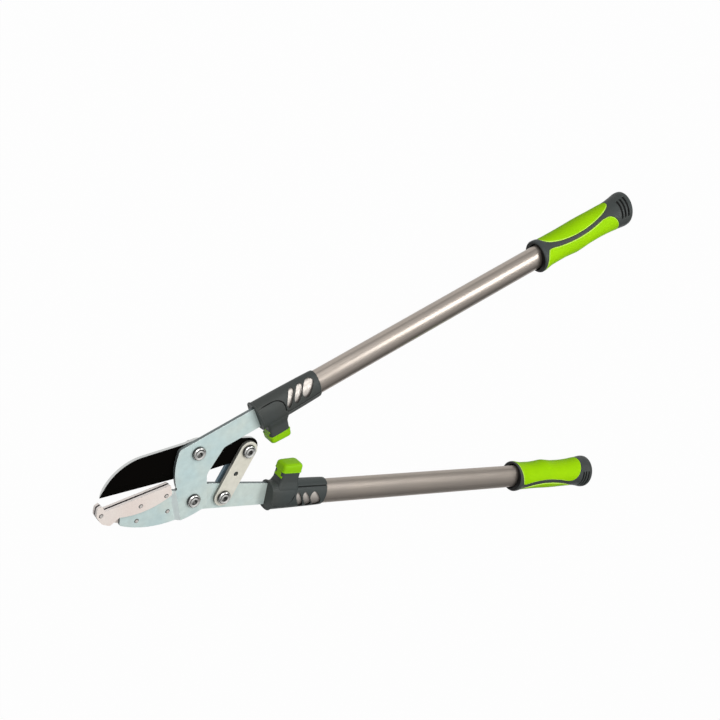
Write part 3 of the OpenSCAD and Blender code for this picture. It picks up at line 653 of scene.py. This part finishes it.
for side in HANDLES:
    shift = radians(-HAND[side] * SET_ROUND)
    sleeve = wrapped(SHEET_ROWS, COLLAR_AROUND, lambda u, angle: collar_skin(u, angle, side))
    collar = shaped("collar", closed(sleeve))
    tower = wrapped(TOWER_ROWS, TOWER_AROUND, tower_skin)
    worked(collar, shaped("tower", closed(tower)), "UNION")
    slot_low, slot_half = SLOTS[side]
    slot = slab((MOUTH_D - SLOT_OUT, -slot_half, slot_low - SLOT_EASE),
                (SEAT_X + SLOT_IN, slot_half, slot_low + PLATE_T + SLOT_EASE))
    worked(collar, shaped("slot", slot), "DIFFERENCE")
    cutters = bmesh.new()
    for x, lean, near, far in WINDOWS:
        for face in (1.0, -1.0):
            made = bmesh.ops.create_cone(cutters, segments=WINDOW_STEPS, radius1=1.0, radius2=1.0,
                                         depth=WINDOW_DEEP, cap_ends=True)["verts"]
            for v in made:
                wide, long = squared(far if v.co.x > 0.0 else near, WINDOW_HALF, WINDOW_FULL,
                                     atan2(v.co.y, v.co.x))
                v.co = Vector((wide, long, v.co.z))
            spot = (Matrix.Rotation(shift, 4, "X") @ Matrix.Scale(face, 4, (0.0, 0.0, 1.0))
                    @ Matrix.Rotation(radians(WINDOW_FACE), 4, "X")
                    @ Matrix.Translation((x, WINDOW_OFF, WINDOW_H))
                    @ Matrix.Rotation(radians(lean), 4, "Z"))
            bmesh.ops.transform(cutters, matrix=spot, verts=made)
    bmesh.ops.remove_doubles(cutters, verts=cutters.verts[:], dist=JOIN)
    worked(collar, shaped("windows", closed(cutters)), "DIFFERENCE")
    for block in tongue_blocks(TONGUE_GAP, 0.0):
        worked(collar, shaped("tongue_room", block), "DIFFERENCE")
    # Faces below the sleeve's skin are marked for the painted shade.
    moulded = marked(taken(collar), "hollow", sunk)
    collar = fitted(moulded, side + "_collar_moulded", side, slate_nylon, COLLAR_SHARP)
    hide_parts(side + "_collar")

# Bumpers: soft green caps on the towers, moulded with rounded edges, a bead round the foot and a
# tongue that snaps into the tower on the head side. They face each other as buffers between the
# handles.
CAP_GREEN, CAP_PALE = (0.25, 0.55, 0.005), (0.28, 0.58, 0.005)
CAP_FORM = [(0.0310, 0.0006), (0.0312, 0.0000), (0.0318, -0.0004), (0.0326, -0.0001),
            (0.0340, -0.0001), (0.0372, 0.0000), (0.0388, 0.0002), (0.0400, 0.0008),
            (0.0408, 0.0016), (0.0413, 0.0024), (0.0416, 0.0034)]
CAP_ROWS, CAP_TILT, CAP_RUN = 64, tan(radians(3.0)), 0.007
TONGUE_EDGE, CAP_SHARP = 0.0007, 40.0
bumper_green = surface("bumper_green", CAP_GREEN, 0.38, second=CAP_PALE, grain=1100.0, vary=0.04,
                       bump=0.06, shine=0.1)


def cap_skin(u, angle):
    """Point of the cap, level at its foot and tilted at its top."""
    low, high = CAP_FORM[0][0], CAP_FORM[-1][0]
    y = low + (high - low) * u
    x, z = oblong(eased(CAP_FORM, y)[0], angle)
    return Vector((x, y + (x - TOWER_X) * CAP_TILT * min(1.0, (y - low) / CAP_RUN), z))


for side in HANDLES:
    cap = shaped("cap", closed(wrapped(CAP_ROWS, TOWER_AROUND, cap_skin)))
    for block in tongue_blocks(0.0, TONGUE_EDGE):
        worked(cap, shaped("tongue", block), "UNION")
    bumper = fitted(taken(cap), side + "_bumper_cap", side, bumper_green, CAP_SHARP)
    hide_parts(side + "_bumper")

# Grips: a hard slate core with a flared flange and a grooved knob, pushed over the tube. Two soft
# green pads are moulded into it, a leaf-shaped one for the palm and a saddle for the fingers.
CORE = [(0.0, 0.0184, 0.0184, 0.0172), (0.0015, 0.0196, 0.0196, 0.0185),
        (0.0045, 0.0195, 0.0195, 0.0184), (0.010, 0.0184, 0.0182, 0.0174),
        (0.018, 0.0177, 0.0172, 0.0168), (0.034, 0.0176, 0.0170, 0.0167),
        (0.046, 0.0177, 0.0180, 0.0168), (0.056, 0.0179, 0.0193, 0.0170),
        (0.066, 0.0181, 0.0182, 0.0172), (0.078, 0.0181, 0.0168, 0.0171),
        (0.092, 0.0178, 0.0168, 0.0169), (0.106, 0.0177, 0.0176, 0.0169),
        (0.118, 0.0184, 0.0192, 0.0171), (0.128, 0.0202, 0.0208, 0.0177),
        (0.135, 0.02156, 0.02156, 0.0185), (0.1385, 0.0213, 0.0213, 0.0183),
        (0.1408, 0.0200, 0.0200, 0.0171), (0.142, 0.0170, 0.0170, 0.0144)]
CANT = tan(radians(6.0))
BORE_ROWS, CORE_ROWS, CORE_AROUND = 5, 260, 200
GRIP_ROWS = BORE_ROWS + CORE_ROWS + 1
ROW_AT = [(0.0, 0.0), (0.08, 0.010), (0.62, 0.118), (1.0, GRIP_L)]
COUNTERBORE, COUNTERBORE_D, BORE_END = 0.002, 0.005, GRIP_L - 0.0095
NOTCHES = (0.1240, 0.1286, 0.1332)
NOTCH_HALF, NOTCH_W, NOTCH_D, NOTCH_FACE = 0.0130, 0.0014, 0.0018, 25.0
DEGREE, KNOB_GROWN, KNOB_END = 0.000305, 1.15, 0.139
PAD_RISE, PAD_RUN, PAD_ROUND, PAD_DROP = 0.00035, 0.008, 0.0014, 0.0011
PAD_BED, BED_OUT, BED_RUN = 0.0013, 0.0004, 0.0007
PAD_ROWS, PAD_AROUND, PAD_TIP, REACH_STEP = 110, 144, 3.0, 0.004
RIM, RIM_HIGHLIGHT = 0.0010, (0.56, 0.86, 0.12)
GRIP_SHARP, PAD_SHARP = 40.0, 50.0
PAD_GREEN, PAD_DEEP = (0.35, 0.68, 0.003), (0.32, 0.65, 0.003)
PALM_HALF, PALM_SKEW, PALM_FULL, PALM_TIP = 62.0, 0.9, 0.45, 1.5
FINGER_MOST, FINGER_WAIST, FINGER_FLARE, FINGER_MID = 113.0, 97.0, 37.0, 0.88
FINGER_START, FINGER_END = 0.07, 0.17
pad_green = surface("pad_green", PAD_GREEN, 0.5, second=PAD_DEEP, grain=1300.0, vary=0.04,
                    bump=0.10, shine=0.04)
# Painted highlight: a pale green band runs along each pad's rounded outline.
tinted(pad_green, "rim", RIM_HIGHLIGHT)


def palm_reach(u):
    """Half angle of the palm pad's leaf at a share of its length."""
    return PALM_HALF * max(0.0, sin(pi * u ** PALM_SKEW)) ** PALM_FULL + PALM_TIP


def finger_reach(u):
    """Half angle of the finger pad's saddle, which has a waist and rounded ends."""
    e = max(0.0, 1.0 - u / FINGER_START, 1.0 - (1.0 - u) / FINGER_END)
    wide = min(FINGER_MOST, FINGER_WAIST + FINGER_FLARE * (2.0 * u - FINGER_MID) ** 2)
    return wide * sqrt(max(0.0, 1.0 - e * e)) + PAD_TIP


PADS = {"palm": (0.008, 0.1135, -90.0, palm_reach), "finger": (0.0025, 0.122, 90.0, finger_reach)}


def core_skin(g, w, grow):
    """Point of the grip's form: w is 0 at the front, 90 towards the other handle."""
    outer, inner, thick = eased(CORE, g)
    y = ((inner if sin(w) > 0 else outer) + grow) * sin(w)
    return Vector((GRIP_X + g - CANT * y, y, (thick + grow) * cos(w)))


def inside_pad(pad, g, off):
    """How far a point lies inside a pad's outline: off is its angle from the pad's middle."""
    low, high, middle, reach = PADS[pad]
    u = (g - low) / (high - low)
    if not 0.0 < u < 1.0:
        return -hypot(max(low - g, g - high), DEGREE * max(0.0, abs(off) - PAD_TIP))
    gain = reach(min(1.0, u + REACH_STEP)) - reach(max(0.0, u - REACH_STEP))
    tilt = DEGREE * gain / (2.0 * REACH_STEP * (high - low))
    return DEGREE * (reach(u) - abs(off)) / hypot(1.0, tilt)


def knob_groove(g, off):
    """Depth of the three grooves across the knob: off is the angle from their middle."""
    past = max(0.0, abs(off) * DEGREE * KNOB_GROWN - NOTCH_HALF + NOTCH_W)
    away = min(hypot(g - at, past) for at in NOTCHES)
    return NOTCH_D * sqrt(max(0.0, 1.0 - (away / NOTCH_W) ** 2))


def turned_off(w, middle):
    """Angle of w from a middle, both ways round."""
    return (w * 180.0 / pi - middle + 180.0) % 360.0 - 180.0


for side in HANDLES:
    round_by = HAND[side] * SET_ROUND

    def grip_skin(u, w):
        """Point of the core's sheet, from the bore's end, round the flange and over the knob."""
        row = round(u * GRIP_ROWS)
        bore = Vector((0.0, (TUBE_A + SLIP) * sin(w), (TUBE_B + SLIP) * cos(w)))
        wide = Vector((0.0, (TUBE_A + COUNTERBORE) * sin(w), (TUBE_B + COUNTERBORE) * cos(w)))
        if row < BORE_ROWS:
            return (Vector((GRIP_X + BORE_END, 0.0, 0.0)),
                    bore + Vector((GRIP_X + BORE_END, 0.0, 0.0)),
                    bore + Vector((GRIP_X + COUNTERBORE_D, 0.0, 0.0)),
                    wide + Vector((GRIP_X + COUNTERBORE_D, 0.0, 0.0)),
                    wide + Vector((GRIP_X - CANT * wide.y, 0.0, 0.0)))[row]
        if row == GRIP_ROWS:
            return Vector((GRIP_X + GRIP_L, 0.0, 0.0))
        g = between(ROW_AT, (row - BORE_ROWS) / CORE_ROWS)[0]
        grow = 0.0
        for pad, (low, high, middle, reach) in PADS.items():
            deep = inside_pad(pad, g, turned_off(w, middle + round_by))
            share = min(1.0, max(0.0, (deep + BED_OUT) / BED_RUN))
            grow = min(grow, -PAD_BED * share * share * (3.0 - 2.0 * share))
        for middle in (-NOTCH_FACE, 180.0 + NOTCH_FACE):
            grow = min(grow, -knob_groove(g, turned_off(w, middle + round_by)))
        return core_skin(g, w, grow)

    def grooved(point):
        """Whether a point of the core lies below the grip's form, short of the knob's end."""
        if point.x >= GRIP_X + KNOB_END:
            return False
        g = min(GRIP_L, max(0.0, point.x - GRIP_X + CANT * point.y))
        outer, inner, thick = eased(CORE, g)
        return (point.y / (inner if point.y > 0 else outer)) ** 2 + (point.z / thick) ** 2 < SUNK

    # Faces below the grip's form, in pad beds, channels and knob grooves, are marked for painted
    # shade.
    core = marked(closed(wrapped(GRIP_ROWS, CORE_AROUND, grip_skin)), "hollow", grooved)
    grip = fitted(core, side + "_grip_core", side, slate_nylon, GRIP_SHARP)
    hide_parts(side + "_grip")
    for pad, (low, high, middle, reach) in PADS.items():

        def pad_skin(u, a):
            """Point of the pad: its top for the first half turn, its bed for the second."""
            share = (1.0 - cos(pi * u)) / 2.0
            g = low + (high - low) * share
            off = -reach(share) * cos(a)
            grow = SLIP - PAD_BED
            if a <= pi:
                edge = max(0.0, 1.0 - max(0.0, inside_pad(pad, g, off)) / PAD_ROUND)
                drop = PAD_DROP * (1.0 - sqrt(1.0 - edge * edge))
                grow = PAD_RISE * min(1.0, (g - low) / PAD_RUN) - drop
            return core_skin(g, radians(middle + round_by + off), grow)

        def near_rim(point):
            """Whether a point of the pad lies close to its outline."""
            g = point.x - GRIP_X + CANT * point.y
            outer, inner, thick = eased(CORE, g)
            w = atan2(point.y / (inner if point.y > 0 else outer), point.z / thick)
            return inside_pad(pad, g, turned_off(w, middle + round_by)) < RIM

        cushion = marked(closed(wrapped(PAD_ROWS, PAD_AROUND, pad_skin)), "rim", near_rim)
        soft = fitted(cushion, side + "_" + pad + "_pad_soft", side, pad_green, PAD_SHARP)
        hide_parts(side + "_" + pad + "_pad")

# Studio: the lopper lies face up on white paper, under a broad soft key, a weak fill, a strip lamp
# that draws the streak on the tubes, and a pale sky that is brightest high above the upper handle.
FLOOR_HALF = 6.0
PAPER_GREY, PAPER_GLOW = (0.25, 0.25, 0.25, 1.0), 0.98
WHITE = (1.0, 1.0, 1.0, 1.0)
SKY_FROM, SKY_TOWARDS, SKY_AXIS = (0.15, 0.04), (1.0, 0.80), (-0.05, 0.45, 0.89)
LAMPS = (("key", (-0.6, 1.2, 1.3), 1.2, 17.0), ("fill", (0.9, -0.6, 1.4), 1.6, 2.0),
         ("strip", (0.81, 0.35, 1.34), 0.5, 6.0))
EYE_AT, EYE_TURN = (-0.89152, 0.84602, 1.06629), (-32.967, -36.182, 5.844)
floor_mesh = bpy.data.meshes.new("floor")
bm = bmesh.new()
bmesh.ops.create_grid(bm, x_segments=1, y_segments=1, size=FLOOR_HALF)
bm.to_mesh(floor_mesh)
bm.free()
floor = bpy.data.objects.new("floor", floor_mesh)
bpy.context.scene.collection.objects.link(floor)
paper = bpy.data.materials.new("studio_paper")
paper.use_nodes = True
tree = paper.node_tree
matt = tree.nodes["Principled BSDF"]
matt.inputs["Base Color"].default_value = PAPER_GREY
matt.inputs["Roughness"].default_value = 0.9
glow = tree.nodes.new("ShaderNodeEmission")
glow.inputs["Color"].default_value = WHITE
glow.inputs["Strength"].default_value = 1.0
seen = tree.nodes.new("ShaderNodeLightPath")
either = tree.nodes.new("ShaderNodeMath")
either.operation = "MAXIMUM"
tree.links.new(seen.outputs["Is Camera Ray"], either.inputs[0])
tree.links.new(seen.outputs["Is Glossy Ray"], either.inputs[1])
share = tree.nodes.new("ShaderNodeMath")
share.operation = "MULTIPLY"
share.inputs[1].default_value = PAPER_GLOW
tree.links.new(either.outputs["Value"], share.inputs[0])
white = tree.nodes.new("ShaderNodeMixShader")
tree.links.new(share.outputs["Value"], white.inputs["Fac"])
tree.links.new(matt.outputs["BSDF"], white.inputs[1])
tree.links.new(glow.outputs["Emission"], white.inputs[2])
tree.links.new(white.outputs["Shader"], tree.nodes["Material Output"].inputs["Surface"])
floor.data.materials.append(paper)

world = bpy.data.worlds.new("studio")
bpy.context.scene.world = world
world.use_nodes = True
sky = world.node_tree
way = sky.nodes.new("ShaderNodeTexCoord")
height = sky.nodes.new("ShaderNodeVectorMath")
height.operation = "DOT_PRODUCT"
height.inputs[1].default_value = SKY_AXIS
sky.links.new(way.outputs["Generated"], height.inputs[0])
fade = sky.nodes.new("ShaderNodeMapRange")
for end, (at, strength) in (("Min", SKY_FROM), ("Max", SKY_TOWARDS)):
    fade.inputs["From " + end].default_value = at
    fade.inputs["To " + end].default_value = strength
sky.links.new(height.outputs["Value"], fade.inputs["Value"])
light = sky.nodes["Background"]
light.inputs["Color"].default_value = WHITE
sky.links.new(fade.outputs["Result"], light.inputs["Strength"])
backdrop = sky.nodes.new("ShaderNodeBackground")
backdrop.inputs["Color"].default_value = WHITE
backdrop.inputs["Strength"].default_value = 1.0
looked_at = sky.nodes.new("ShaderNodeLightPath")
choose = sky.nodes.new("ShaderNodeMixShader")
sky.links.new(looked_at.outputs["Is Camera Ray"], choose.inputs["Fac"])
sky.links.new(light.outputs["Background"], choose.inputs[1])
sky.links.new(backdrop.outputs["Background"], choose.inputs[2])
sky.links.new(choose.outputs["Shader"], sky.nodes["World Output"].inputs["Surface"])
for name, spot, size, power in LAMPS:
    lamp = bpy.data.lights.new(name, "AREA")
    lamp.size = size
    lamp.energy = power
    lit = bpy.data.objects.new(name, lamp)
    lit.location = spot
    lit.rotation_euler = (-Vector(spot)).to_track_quat("-Z", "Y").to_euler()
    bpy.context.scene.collection.objects.link(lit)

camera = bpy.data.cameras.new("camera")
camera.lens = 70.5
camera.sensor_width = 36.0
camera.clip_start = 0.05
eye = bpy.data.objects.new("camera", camera)
eye.location = EYE_AT
eye.rotation_euler = Euler([radians(turn) for turn in EYE_TURN])
bpy.context.scene.collection.objects.link(eye)
bpy.context.scene.camera = eye
bpy.context.scene.view_settings.view_transform = "Standard"
